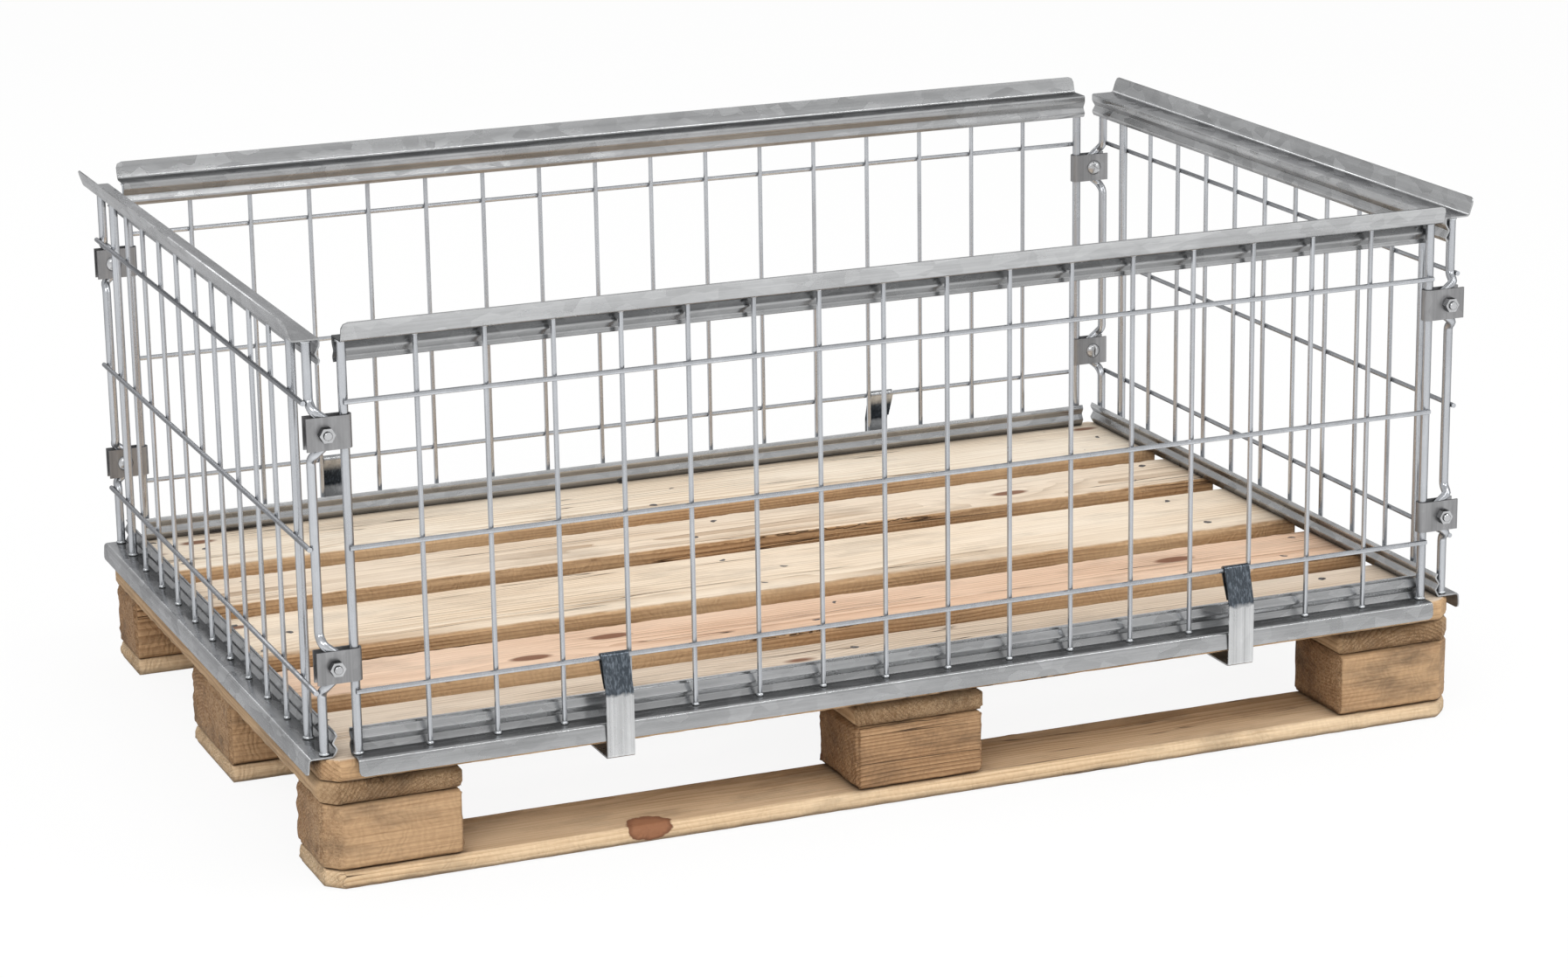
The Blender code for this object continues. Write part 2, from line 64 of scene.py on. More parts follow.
lens = bpy.data.cameras.new("photo_camera")
lens.lens = CAMERA_LENS
lens.clip_end = CAMERA_REACH
camera = bpy.data.objects.new("photo_camera", lens)
bpy.context.scene.collection.objects.link(camera)
camera.matrix_world = (
    Matrix.Translation(CAMERA_PLACE)
    @ Matrix.Rotation(CAMERA_TURN, 4, "Z")
    @ Matrix.Rotation(CAMERA_TILT, 4, "X")
    @ Matrix.Rotation(CAMERA_ROLL, 4, "Z")
)
bpy.context.scene.camera = camera


# Studio
# A white sweep of paper with large soft boxes over it, as in a catalogue. The floor keeps a
# faint shadow. The soft boxes are weak and wide, so that they draw lines in the zinc.

def node(tree, kind, inputs=None, **settings):
    """Adds one shader node. Its inputs are plain values or the sockets of other nodes."""
    made = tree.nodes.new(kind)
    for name, value in settings.items():
        setattr(made, name, value)
    for key, value in (inputs or {}).items():
        if isinstance(value, bpy.types.NodeSocket):
            tree.links.new(value, made.inputs[key])
        else:
            made.inputs[key].default_value = value
    return made


def maths(tree, operation, first, second=0.0):
    return node(tree, "ShaderNodeMath", {0: first, 1: second}, operation=operation).outputs[0]


def remap(tree, value, low, high, to_low, to_high):
    """The value carried from one range to another and held inside it."""
    inputs = {"Value": value, "From Min": low, "From Max": high, "To Min": to_low, "To Max": to_high}
    return node(tree, "ShaderNodeMapRange", inputs).outputs["Result"]


def white_where_seen(tree):
    """1 for rays that show the background or its reflection, and 0 for rays that only carry light."""
    path = node(tree, "ShaderNodeLightPath")
    glossy, through = path.outputs["Is Glossy Ray"], path.outputs["Is Transmission Ray"]
    mirrored = maths(tree, "MAXIMUM", glossy, through)
    return maths(tree, "MAXIMUM", path.outputs["Is Camera Ray"], mirrored)


FLOOR_REACH = 9.0
FLOOR_DROP = 0.0004
FLOOR_COLOUR = (0.90, 0.90, 0.89, 1.0)
FLOOR_WHITE_SHARE = 0.90

bpy.ops.mesh.primitive_plane_add(size=2 * FLOOR_REACH, location=(0.0, 0.0, -FLOOR_DROP))
floor = bpy.context.object
floor.name = "studio_floor"
paper = bpy.data.materials.new("white_paper")
paper.use_nodes = True
tree = paper.node_tree
tree.nodes.clear()
seen = white_where_seen(tree)
matt = node(tree, "ShaderNodeBsdfDiffuse", {"Color": FLOOR_COLOUR})
white = node(tree, "ShaderNodeEmission", {"Color": (1.0, 1.0, 1.0, 1.0), "Strength": 1.0})
share = maths(tree, "MULTIPLY", seen, FLOOR_WHITE_SHARE)
both = node(tree, "ShaderNodeMixShader", {0: share, 1: matt.outputs[0], 2: white.outputs[0]})
node(tree, "ShaderNodeOutputMaterial", {"Surface": both.outputs[0]})
floor.data.materials.append(paper)

ROOM_SIDE = 0.38
ROOM_TOP = 0.98
ROOM_TOP_FROM = 0.75
room = bpy.data.worlds.new("studio_room")
bpy.context.scene.world = room
room.use_nodes = True
tree = room.node_tree
tree.nodes.clear()
seen = white_where_seen(tree)
direction = node(tree, "ShaderNodeTexCoord").outputs["Generated"]
height = node(tree, "ShaderNodeSeparateXYZ", {0: direction}).outputs["Z"]
glow = remap(tree, height, 0.0, ROOM_TOP_FROM, ROOM_SIDE, ROOM_TOP)
level = node(tree, "ShaderNodeMix", {0: seen, 2: glow, 3: 1.0}).outputs[0]
sky = node(tree, "ShaderNodeBackground", {"Color": (1.0, 1.0, 1.0, 1.0), "Strength": level})
node(tree, "ShaderNodeOutputWorld", {"Surface": sky.outputs[0]})

SOFT_BOXES = (
    ("key_box", (-2.4, -2.9, 2.9), (2.6, 1.6), 60.0),
    ("fill_box", (3.4, -2.2, 1.9), (1.6, 1.6), 20.0),
    ("long_strip", (1.2, -2.1, 3.2), (3.4, 0.24), 30.0),
    ("back_strip", (-0.7, 3.4, 2.4), (0.5, 1.2), 10.0),
)
LIT_POINT = Vector((0.0, 0.0, 0.25))
for name, place, (width, depth), watts in SOFT_BOXES:
    lamp = bpy.data.lights.new(name, "AREA")
    lamp.shape = "RECTANGLE"
    lamp.size, lamp.size_y, lamp.energy = width, depth, watts
    soft_box = bpy.data.objects.new(name, lamp)
    soft_box.location = place
    soft_box.rotation_euler = (LIT_POINT - Vector(place)).to_track_quat("-Z", "Y").to_euler()
    soft_box.visible_camera = False
    bpy.context.scene.collection.objects.link(soft_box)
bpy.context.scene.view_settings.view_transform = "Standard"


# Sawn pine of the pallet
# The boards and blocks are cut from spruce and pine and left rough from the saw. Growth rings
# run round each piece's own pith, so ends show arcs and faces show long flames.

def new_group(name, inputs, outputs):
    """A shader node group with named sockets, and its input and output nodes."""
    group = bpy.data.node_groups.new(name, "ShaderNodeTree")
    for label, kind in inputs:
        group.interface.new_socket(name=label, in_out="INPUT", socket_type=kind)
    for label, kind in outputs:
        group.interface.new_socket(name=label, in_out="OUTPUT", socket_type=kind)
    return group, group.nodes.new("NodeGroupInput"), group.nodes.new("NodeGroupOutput")


def mix_colours(tree, share, first, second, blend="MIX"):
    inputs = {0: share, 6: first, 7: second}
    return node(tree, "ShaderNodeMix", inputs, data_type="RGBA", blend_type=blend).outputs[2]


def stretched(tree, vector, scale, place=(0.0, 0.0, 0.0)):
    inputs = {"Vector": vector, "Scale": scale, "Location": place}
    return node(tree, "ShaderNodeMapping", inputs).outputs[0]


def noise(tree, vector, scale, detail=3.0, roughness=0.5):
    inputs = {"Vector": vector, "Scale": scale, "Detail": detail, "Roughness": roughness}
    return node(tree, "ShaderNodeTexNoise", inputs).outputs[0]


RING_WAVES = 88.0
KNOT_BEND = 0.012
CRACK_HALF_WIDTH = 0.007
CORNER_SHADE_REACH = 0.022
AO_SAMPLES = 6
KNOT_COLOUR = (0.17, 0.058, 0.022, 1.0)
# The grime colour also serves as painted shade where pieces close each other in.
GRIME_AND_SHADE_COLOUR = (0.060, 0.042, 0.030, 1.0)
CRACK_COLOUR = (0.045, 0.022, 0.010, 1.0)

pine_grain, given, result = new_group(
    "pine_grain",
    [("Grain", "NodeSocketVector"), ("Early Wood", "NodeSocketColor"), ("Late Wood", "NodeSocketColor"),
     ("Knots", "NodeSocketFloat"), ("Grime", "NodeSocketFloat"), ("Saw Marks", "NodeSocketFloat"),
     ("End Grain", "NodeSocketFloat")],
    [("Color", "NodeSocketColor"), ("Roughness", "NodeSocketFloat"), ("Height", "NodeSocketFloat")],
)
tree = pine_grain
grain, end_grain = given.outputs["Grain"], given.outputs["End Grain"]
early_wood, late_wood = given.outputs["Early Wood"], given.outputs["Late Wood"]

knot_cells = {"Vector": stretched(tree, grain, (4.0, 11.0, 11.0)), "Scale": 1.0}
knot_field = node(tree, "ShaderNodeTexVoronoi", knot_cells)
knot_distance = knot_field.outputs["Distance"]
around_knot = remap(tree, knot_distance, 0.10, 0.45, 1.0, 0.0)
knot = remap(tree, knot_distance, 0.075, 0.105, 1.0, 0.0)
knot = maths(tree, "MULTIPLY", knot, given.outputs["Knots"])
bend = {0: knot_field.outputs["Color"], "Scale": around_knot}
bend = node(tree, "ShaderNodeVectorMath", bend, operation="SCALE").outputs[0]
bend = node(tree, "ShaderNodeVectorMath", {0: bend, "Scale": KNOT_BEND}, operation="SCALE").outputs[0]
bent = {0: stretched(tree, grain, (0.085, 1.0, 1.0)), 1: bend}
bent = node(tree, "ShaderNodeVectorMath", bent).outputs[0]
rings = node(
    tree, "ShaderNodeTexWave",
    {"Vector": bent, "Scale": RING_WAVES, "Distortion": 6.5, "Detail": 2.0, "Detail Scale": 0.30,
     "Detail Roughness": 0.55},
    wave_type="RINGS", rings_direction="X", wave_profile="SAW",
).outputs["Fac"]
late = maths(tree, "POWER", rings, 2.2)
fibre = noise(tree, stretched(tree, grain, (9.0, 420.0, 420.0)), 1.0, 4.0, 0.65)
patch = noise(tree, stretched(tree, grain, (2.6, 11.0, 11.0)), 1.0, 3.0)
late = maths(tree, "MULTIPLY", late, remap(tree, patch, 0.40, 0.62, 0.22, 0.95))
colour = mix_colours(tree, late, early_wood, late_wood)
fibre_share = remap(tree, fibre, 0.45, 0.72, 0.0, 0.50)
colour = mix_colours(tree, fibre_share, colour, late_wood)
colour = mix_colours(tree, remap(tree, patch, 0.3, 0.7, 0.0, 0.40), colour, early_wood, "MULTIPLY")

speckle = noise(tree, stretched(tree, grain, (700.0, 900.0, 900.0)), 1.0, 3.0, 0.7)
torn = noise(tree, stretched(tree, grain, (60.0, 210.0, 210.0)), 1.0, 5.0, 0.75)
speckled = mix_colours(tree, remap(tree, speckle, 0.45, 0.66, 0.0, 0.70), colour, CRACK_COLOUR)
speckled = mix_colours(tree, remap(tree, torn, 0.48, 0.62, 0.0, 0.80), speckled, late_wood)
colour = mix_colours(tree, end_grain, colour, speckled)

along_face = maths(tree, "SUBTRACT", 1.0, end_grain)
crack = noise(tree, stretched(tree, grain, (1.3, 52.0, 52.0)), 1.0, 2.0, 0.4)
crack = maths(tree, "ABSOLUTE", maths(tree, "SUBTRACT", crack, 0.5))
crack = remap(tree, crack, 0.0, CRACK_HALF_WIDTH, 1.0, 0.0)
crack = maths(tree, "MULTIPLY", crack, remap(tree, patch, 0.50, 0.56, 0.0, 1.0))
crack = maths(tree, "MULTIPLY", crack, along_face)
colour = mix_colours(tree, crack, colour, CRACK_COLOUR)

grime = noise(tree, stretched(tree, grain, (7.0, 20.0, 20.0), (3.1, 1.7, 0.4)), 1.0, 6.0, 0.68)
grime = maths(tree, "MULTIPLY", remap(tree, grime, 0.50, 0.72, 0.0, 0.62), given.outputs["Grime"])
colour = mix_colours(tree, grime, colour, GRIME_AND_SHADE_COLOUR)
# Painted shade: the wood darkens towards the grime colour where nearby pieces close it in, in corners
# and between the layers.
closed_in = node(tree, "ShaderNodeAmbientOcclusion", {"Distance": CORNER_SHADE_REACH}, samples=AO_SAMPLES)
corner_shade = remap(tree, closed_in.outputs["AO"], 0.15, 0.75, 0.62, 0.0)
colour = mix_colours(tree, corner_shade, colour, GRIME_AND_SHADE_COLOUR)
colour = mix_colours(tree, knot, colour, KNOT_COLOUR)

saw = node(
    tree, "ShaderNodeTexWave",
    {"Vector": grain, "Scale": 44.0, "Distortion": 18.0, "Detail": 4.0, "Detail Scale": 0.8},
    wave_type="BANDS", bands_direction="X",
).outputs["Fac"]
saw = maths(tree, "MULTIPLY", saw, given.outputs["Saw Marks"])
colour = mix_colours(tree, maths(tree, "MULTIPLY", saw, 0.12), colour, late_wood)
height = maths(tree, "ADD", maths(tree, "MULTIPLY", fibre, 0.8), maths(tree, "MULTIPLY", saw, 0.6))
height = maths(tree, "ADD", height, maths(tree, "MULTIPLY", late, 0.25))
height = maths(tree, "SUBTRACT", height, maths(tree, "MULTIPLY", crack, 1.5))
rough_end = maths(tree, "ADD", speckle, maths(tree, "MULTIPLY", torn, 2.2))
height = maths(tree, "ADD", height, maths(tree, "MULTIPLY", rough_end, end_grain))
tree.links.new(colour, result.inputs["Color"])
tree.links.new(remap(tree, fibre, 0.3, 0.8, 0.62, 0.9), result.inputs["Roughness"])
tree.links.new(height, result.inputs["Height"])

CHANCE_SEED = 41
PITH_ALONG = 9.0
PITH_ACROSS = 0.07
PITH_BELOW, PITH_ABOVE = -0.085, 0.06
PITH_DRIFT = 0.02
SAW_ON_FACES = 0.15
GRAIN_RELIEF = 0.75
GRAIN_DEPTH = 0.0012
MATT_WOOD = 0.25
chance = random.Random(CHANCE_SEED)


def grain_axis(cad_node):
    """0 for the pieces whose grain runs along the pallet, and 1 for those across it."""
    return 1 if "cross_board" in cad_node else 0


def pine(name, cad_node, faces, edges, knots, grime, saw_marks):
    """A pine finish for one piece: worn faces up and down, browner sawn sides, torn end grain.

    The pith lies a little below or above the piece, at another place in each one.
    """
    low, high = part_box(cad_node)
    along_x = grain_axis(cad_node) == 0
    turn = 0.0 if along_x else math.pi / 2
    pith = Vector((
        chance.uniform(-PITH_ALONG, PITH_ALONG),
        chance.uniform(-PITH_ACROSS, PITH_ACROSS),
        chance.choice((PITH_BELOW, PITH_ABOVE)),
    ))
    pith.z += chance.uniform(-PITH_DRIFT, PITH_DRIFT)
    made = bpy.data.materials.new(name)
    made.use_nodes = True
    tree = made.node_tree
    shader = tree.nodes["Principled BSDF"]
    place = node(tree, "ShaderNodeTexCoord").outputs["Object"]
    shift = pith - Matrix.Rotation(turn, 3, "Z") @ ((low + high) / 2)
    inputs = {"Vector": place, "Rotation": (0.0, 0.0, turn), "Location": shift}
    grain = node(tree, "ShaderNodeMapping", inputs).outputs[0]
    facing = node(tree, "ShaderNodeNewGeometry").outputs["Normal"]
    facing = node(tree, "ShaderNodeSeparateXYZ", {0: facing})
    level = maths(tree, "ABSOLUTE", facing.outputs["Z"])
    lengthwise = maths(tree, "ABSOLUTE", facing.outputs["X" if along_x else "Y"])
    flat = remap(tree, level, 0.72, 0.97, 0.0, 1.0)
    end = remap(tree, lengthwise, 0.55, 0.85, 0.0, 1.0)
    surface = node(tree, "ShaderNodeGroup", node_tree=pine_grain)
    tree.links.new(grain, surface.inputs["Grain"])
    # Faces and sides get tints of their own; the deck boards' darker sides are partly the sawn wood and
    # partly painted shade.
    for label, side, face in zip(("Early Wood", "Late Wood"), edges, faces):
        wood = mix_colours(tree, flat, (*side, 1.0), (*face, 1.0))
        tree.links.new(wood, surface.inputs[label])
    sawn = remap(tree, flat, 0.0, 1.0, saw_marks, SAW_ON_FACES * saw_marks)
    tree.links.new(sawn, surface.inputs["Saw Marks"])
    tree.links.new(end, surface.inputs["End Grain"])
    surface.inputs["Knots"].default_value = knots
    surface.inputs["Grime"].default_value = grime
    relief = {"Height": surface.outputs["Height"], "Strength": GRAIN_RELIEF, "Distance": GRAIN_DEPTH}
    tree.links.new(surface.outputs["Color"], shader.inputs["Base Color"])
    tree.links.new(surface.outputs["Roughness"], shader.inputs["Roughness"])
    tree.links.new(node(tree, "ShaderNodeBump", relief).outputs[0], shader.inputs["Normal"])
    shader.inputs["Specular IOR Level"].default_value = MATT_WOOD
    return made


PALLET_CORNER_CUT = 0.028
TOUCH = 0.001
pallet_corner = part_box("back_bottom_board")[1]
SAW_VOXEL = 0.0036
EDGE_WEAR = 0.0012
HEAVE = 0.0006
EDGE_BAND = 0.0045
EDGE_CHIPS = 0.0034
END_BAND = 0.0030
END_TEAR = 0.0026


def clouds(name, scale, depth=2, contrast=1.0, intensity=1.0):
    """A cloudy field that says how deep the skin of a piece is pushed in."""
    made = bpy.data.textures.new(name, "CLOUDS")
    made.noise_scale, made.noise_depth = scale, depth
    made.contrast, made.intensity = contrast, intensity
    return made


heaving = clouds("heaved_faces", 0.045)
chipping = clouds("chipped_edges", 0.016, depth=4, contrast=1.8, intensity=0.75)
tearing = clouds("torn_ends", 0.0065, depth=3, contrast=1.6)


def sink(piece, name, texture, depth, group=""):
    """Pushes the skin of a piece inwards by up to the given depth."""
    push = piece.modifiers.new(name, "DISPLACE")
    push.texture = texture
    push.texture_coords = "LOCAL"
    push.mid_level = 1.0
    push.strength = depth
    push.vertex_group = group
    bpy.ops.object.modifier_apply(modifier=name)


def sawn_piece(cad_node, name, finish):
    """A board or block in its CAD place: a cube with cut corners, heaved faces and chipped edges."""
    low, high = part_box(cad_node)
    middle, size = (low + high) / 2, high - low
    bpy.ops.mesh.primitive_cube_add(size=1.0, location=middle, scale=size)
    piece = bpy.context.object
    piece.name = name
    bpy.ops.object.transform_apply(location=True, rotation=False, scale=True)
    bpy.ops.object.mode_set(mode="EDIT")
    bpy.ops.mesh.select_mode(type="EDGE")
    bpy.ops.mesh.select_all(action="DESELECT")
    shape = bmesh.from_edit_mesh(piece.data)
    for edge in shape.edges:
        upright = abs(edge.verts[0].co.z - edge.verts[1].co.z) > size.z / 2
        x, y, _ = edge.verts[0].co
        outermost = abs(x) > pallet_corner.x - TOUCH and abs(y) > pallet_corner.y - TOUCH
        if upright and outermost:
            edge.select_set(True)
    bmesh.update_edit_mesh(piece.data)
    if piece.data.total_edge_sel:
        bpy.ops.mesh.bevel(offset=PALLET_CORNER_CUT, offset_type="WIDTH", segments=1)
    bpy.ops.mesh.select_all(action="SELECT")
    bpy.ops.mesh.bevel(offset=EDGE_WEAR, segments=1)
    bpy.ops.object.mode_set(mode="OBJECT")
    grid = piece.modifiers.new("saw_grid", "REMESH")
    grid.mode = "VOXEL"
    grid.voxel_size = SAW_VOXEL
    grid.use_smooth_shade = True
    bpy.ops.object.modifier_apply(modifier=grid.name)
    edges = piece.vertex_groups.new(name="edges")
    ends = piece.vertex_groups.new(name="ends")
    along = grain_axis(cad_node)
    for vertex in piece.data.vertices:
        depths = [min(vertex.co[axis] - low[axis], high[axis] - vertex.co[axis]) for axis in range(3)]
        if depths[along] < END_BAND:
            ends.add([vertex.index], 1.0, "REPLACE")
        from_edge = sorted(depths)[1]
        if from_edge < EDGE_BAND:
            edges.add([vertex.index], 1.0 - from_edge / EDGE_BAND, "REPLACE")
    sink(piece, "heaved_faces", heaving, HEAVE)
    sink(piece, "chipped_edges", chipping, EDGE_CHIPS, "edges")
    sink(piece, "torn_ends", tearing, END_TEAR, "ends")
    piece.data.materials.append(finish)
    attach(piece, "pallet")
    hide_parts(cad_node)
    piece.select_set(False)
    return piece


# Bottom boards
# Three runners under the blocks, 18 mm thick, that lie on the floor and on rollers. They are
# as browned and scuffed as the blocks that they are nailed to.

RUNNER_FACE = ((0.68, 0.51, 0.34), (0.40, 0.255, 0.135))
RUNNER_EDGE = ((0.84, 0.66, 0.45), (0.50, 0.33, 0.185))
RED_KNOT = Vector((-0.281, -0.396, 0.014))
RED_KNOT_SIZE = (0.023, 0.024, 0.011)
RED_KNOT_RAGGED = 0.12
RED_KNOT_COLOUR = (0.31, 0.14, 0.072, 1.0)
RED_KNOT_RIM = (0.19, 0.08, 0.042, 1.0)


def red_knot(finish):
    """Adds a red knot to the front edge of the runner, darker at its rim."""
    tree = finish.node_tree
    shader = tree.nodes["Principled BSDF"]
    around = shader.inputs["Base Color"].links[0].from_socket
    place = node(tree, "ShaderNodeTexCoord").outputs["Object"]
    offset = node(tree, "ShaderNodeVectorMath", {0: place, 1: RED_KNOT}, operation="SUBTRACT")
    inside = {0: offset.outputs[0], 1: RED_KNOT_SIZE}
    inside = node(tree, "ShaderNodeVectorMath", inside, operation="DIVIDE").outputs[0]
    reach = node(tree, "ShaderNodeVectorMath", {0: inside}, operation="LENGTH").outputs["Value"]
    ragged = remap(tree, noise(tree, place, 90.0), 0.3, 0.7, -RED_KNOT_RAGGED, RED_KNOT_RAGGED)
    reach = maths(tree, "ADD", reach, ragged)
    heart = mix_colours(tree, remap(tree, reach, 0.70, 0.98, 0.0, 1.0), RED_KNOT_COLOUR, RED_KNOT_RIM)
    knot = mix_colours(tree, remap(tree, reach, 0.98, 1.06, 0.0, 1.0), heart, around)
    tree.links.new(knot, shader.inputs["Base Color"])


for row in ("front", "middle", "back"):
    board = f"{row}_bottom_board"
    finish = pine(
        f"{row}_runner_pine", board, RUNNER_FACE, RUNNER_EDGE, knots=1.0, grime=0.7, saw_marks=0.8,
    )
    if row == "front":
        red_knot(finish)
    sawn_piece(board, f"{row}_runner", finish)


# Blocks
# Nine spacers sawn from square stock with the grain along the pallet, bare on all sides. They
# are the brownest and grimiest wood of the pallet, with edges rubbed round by forks.

BLOCK_FACE = ((0.50, 0.33, 0.18), (0.25, 0.13, 0.055))
BLOCK_SIDE = ((0.56, 0.37, 0.21), (0.21, 0.11, 0.05))
for row in ("front", "middle", "back"):
    for column in ("left", "centre", "right"):
        block = f"{row}_{column}_block"
        finish = pine(
            f"{block}_pine", block, BLOCK_FACE, BLOCK_SIDE, knots=0.8, grime=1.25, saw_marks=1.0,
        )
        sawn_piece(block, f"{row}_{column}_spacer", finish)


# Cross boards
# Three boards over the blocks, at right angles to the deck. Their rough sawn ends show at the
# front and back, with growth rings as arcs.

CROSS_FACE = ((0.58, 0.41, 0.24), (0.34, 0.20, 0.09))
CROSS_END = ((0.52, 0.36, 0.21), (0.20, 0.11, 0.05))
for column in ("left", "centre", "right"):
    board = f"{column}_cross_board"
    finish = pine(
        f"{column}_cross_pine", board, CROSS_FACE, CROSS_END, knots=0.7, grime=0.8, saw_marks=0.6,
    )
    sawn_piece(board, f"{column}_stringer", finish)


# Deck boards
# Five boards, wide and narrow in turn, pale on top where they have been rubbed clean by loads,
# with browner sawn edges, whose dark tint is partly the sawn wood and partly painted shade.

DECK_TINTS = (
    ((0.76, 0.65, 0.53), (0.42, 0.31, 0.22)),
    ((0.86, 0.65, 0.49), (0.50, 0.31, 0.20)),
    ((0.91, 0.79, 0.64), (0.54, 0.39, 0.26)),
    ((0.86, 0.74, 0.60), (0.48, 0.35, 0.24)),
    ((0.92, 0.83, 0.70), (0.58, 0.43, 0.30)),
)
# Sawn brown together with painted shade on the sides of the deck boards.
DECK_EDGE_BROWN_AND_SHADE = ((0.66, 0.45, 0.26), (0.27, 0.15, 0.07))
for number, tint in enumerate(DECK_TINTS, start=1):
    board = f"deck_board_{number}"
    finish = pine(
        f"deck_{number}_pine", board, tint, DECK_EDGE_BROWN_AND_SHADE, knots=0.9, grime=0.45, saw_marks=0.7,
    )
    sawn_piece(board, f"deck_plank_{number}", finish)


# Nails
# Ring-shank nails through the deck into the blocks, three in a wide board and two in a narrow
# one, driven a little below the surface, where damp has darkened them.

NAIL_HEAD = 0.0050
NAIL_SIDES = 14
NAIL_DEPTH = 0.003
NAIL_EDGE = 0.0005
NAIL_TILT = 0.05
NAIL_SUNK = 0.0003
NAIL_FROM_EDGE = 0.026
NAIL_STAGGER = 0.022
NAIL_DRIFT = (0.008, 0.005)
NAIL_STEEL = (0.070, 0.072, 0.078, 1.0)
NAIL_RUST = (0.045, 0.026, 0.016, 1.0)
WIDE_BOARD = 0.12

nail_steel = bpy.data.materials.new("damp_nail_steel")
nail_steel.use_nodes = True
tree = nail_steel.node_tree
shader = tree.nodes["Principled BSDF"]
place = node(tree, "ShaderNodeTexCoord").outputs["Object"]
rust = remap(tree, noise(tree, place, 420.0, 3.0), 0.4, 0.6, 0.0, 1.0)
tree.links.new(mix_colours(tree, rust, NAIL_STEEL, NAIL_RUST), shader.inputs["Base Color"])
tree.links.new(remap(tree, rust, 0.0, 1.0, 0.35, 0.7), shader.inputs["Roughness"])
tree.links.new(remap(tree, rust, 0.0, 1.0, 0.45, 0.1), shader.inputs["Metallic"])


def nail_places(deck, stringer):
    """Where the nails of one deck board stand over one cross board."""
    low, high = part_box(deck)
    across_low, across_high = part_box(stringer)
    middle = (across_low.x + across_high.x) / 2
    edges = [low.y + NAIL_FROM_EDGE, high.y - NAIL_FROM_EDGE]
    if high.y - low.y > WIDE_BOARD:
        edges.insert(1, (low.y + high.y) / 2)
    for index, y in enumerate(edges):
        side = NAIL_STAGGER if index % 2 else -NAIL_STAGGER
        drift_x, drift_y = (chance.uniform(-drift, drift) for drift in NAIL_DRIFT)
        yield Vector((middle + side + drift_x, y + drift_y, high.z))


def joined(parts, name):
    """Joins small pieces into one object at the origin, unturned and unscaled."""
    bpy.ops.object.select_all(action="DESELECT")
    for part in parts:
        part.select_set(True)
    bpy.context.view_layer.objects.active = parts[0]
    bpy.ops.object.join()
    bpy.ops.object.transform_apply(location=True, rotation=True, scale=True)
    piece = bpy.context.object
    piece.name = name
    return piece


nails = []
for number in range(1, len(DECK_TINTS) + 1):
    for column in ("left", "centre", "right"):
        for place in nail_places(f"deck_board_{number}", f"{column}_cross_board"):
            bpy.ops.mesh.primitive_cylinder_add(
                vertices=NAIL_SIDES, radius=NAIL_HEAD, depth=NAIL_DEPTH, location=place
            )
            nail = bpy.context.object
            nail.location.z -= NAIL_DEPTH / 2 + NAIL_SUNK
            tilt_x, tilt_y = chance.uniform(-NAIL_TILT, NAIL_TILT), chance.uniform(-NAIL_TILT, NAIL_TILT)
            nail.rotation_euler = (tilt_x, tilt_y, 0.0)
            bpy.ops.object.mode_set(mode="EDIT")
            bpy.ops.mesh.select_all(action="SELECT")
            bpy.ops.mesh.bevel(offset=NAIL_EDGE, segments=1)
            bpy.ops.object.mode_set(mode="OBJECT")
            nails.append(nail)
deck_nails = joined(nails, "deck_nails")
deck_nails.data.materials.append(nail_steel)
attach(deck_nails, "pallet")
bpy.ops.object.select_all(action="DESELECT")


# Rails
# Strip rolled to shape and hot-dip galvanised, with draw marks over a faint spangle. Faces that
# turn up are painted darker and faces that turn down painted lighter, and hollows get painted
# shade. The ribs inside the wires get a painted highlight on their crests and painted shade
# between and under them.

SHADE_SWING = 0.17
HOLLOW_SHADE_REACH = 0.009
PAINTED_LIGHT_BELOW, PAINTED_SHADE_ABOVE = 1.34, 0.84
CREST_HIGHLIGHT = 0.70
VALLEY_SHADE, RIB_SHADE = 0.68, 0.36
UNDER_RIB_SHADE = 0.50

zinc_skin, given, result = new_group(
    "zinc_skin",
    [("Along", "NodeSocketVector"), ("Zinc", "NodeSocketColor"), ("Spangle", "NodeSocketFloat"),
     ("Draw Marks", "NodeSocketFloat"), ("Shine", "NodeSocketFloat"), ("Hollow Shade", "NodeSocketFloat"),
     ("Crests", "NodeSocketFloat")],
    [("Color", "NodeSocketColor"), ("Roughness", "NodeSocketFloat"), ("Height", "NodeSocketFloat")],
)
tree = zinc_skin
along = given.outputs["Along"]
draw = noise(tree, stretched(tree, along, (2.2, 560.0, 560.0)), 1.0, 4.0, 0.6)
band = noise(tree, stretched(tree, along, (0.7, 150.0, 150.0), (0.7, 0.2, 0.4)), 1.0, 2.0, 0.5)
film = noise(tree, stretched(tree, along, (9.0, 30.0, 30.0)), 1.0, 5.0, 0.65)
flakes = {"Vector": stretched(tree, along, (45.0, 90.0, 90.0)), "Scale": 1.0}
flakes = node(tree, "ShaderNodeTexVoronoi", flakes)
flake = node(tree, "ShaderNodeSeparateColor", {0: flakes.outputs["Color"]}).outputs[0]
flake = remap(tree, flake, 0.0, 1.0, -SHADE_SWING, SHADE_SWING)
flake = maths(tree, "MULTIPLY", flake, given.outputs["Spangle"])
drawn_streak = remap(tree, draw, 0.28, 0.72, -SHADE_SWING, SHADE_SWING)
broad_streak = remap(tree, band, 0.3, 0.7, -SHADE_SWING, SHADE_SWING)
streak = maths(tree, "ADD", drawn_streak, broad_streak)
shade = maths(tree, "ADD", maths(tree, "MULTIPLY", streak, given.outputs["Draw Marks"]), flake)
shade = maths(tree, "ADD", shade, remap(tree, film, 0.35, 0.7, 0.06, -0.12))
